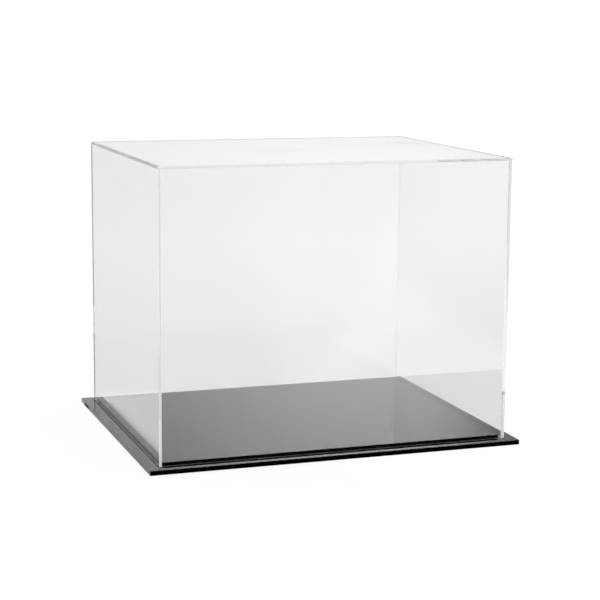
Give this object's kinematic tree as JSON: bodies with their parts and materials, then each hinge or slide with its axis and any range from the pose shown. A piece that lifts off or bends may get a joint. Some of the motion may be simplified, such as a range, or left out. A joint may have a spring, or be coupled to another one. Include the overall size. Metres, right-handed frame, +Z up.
{
  "type": "football display case",
  "caption": "Clear rectangular box-shaped cover that lifts off a two-tier gloss-black base, for keeping a football on show free of dust.",
  "frame": {"origin": "on the ground under the middle of the case, at the undersides of the feet", "axes": "+X to the right along the width, the front faces -Y, +Z up"},
  "size_m": [0.405, 0.325, 0.3075],
  "materials": {
    "clear_acrylic": "polished",
    "black_acrylic": "polished",
    "black_rubber": "matte"
  },
  "bodies": {
    "base": {"base_plate": "black_acrylic", "plinth_plate": "black_acrylic", "front_left_foot": "black_rubber", "front_right_foot": "black_rubber", "back_left_foot": "black_rubber", "back_right_foot": "black_rubber"},
    "cover": {"top_panel": "clear_acrylic", "front_panel": "clear_acrylic", "back_panel": "clear_acrylic", "left_panel": "clear_acrylic", "right_panel": "clear_acrylic"}
  },
  "joints": [
    {"name": "cover_lift", "type": "slide", "parent": "base", "child": "cover", "axis": [0, 0, 1], "range_m": [0, 0.31]}
  ]
}
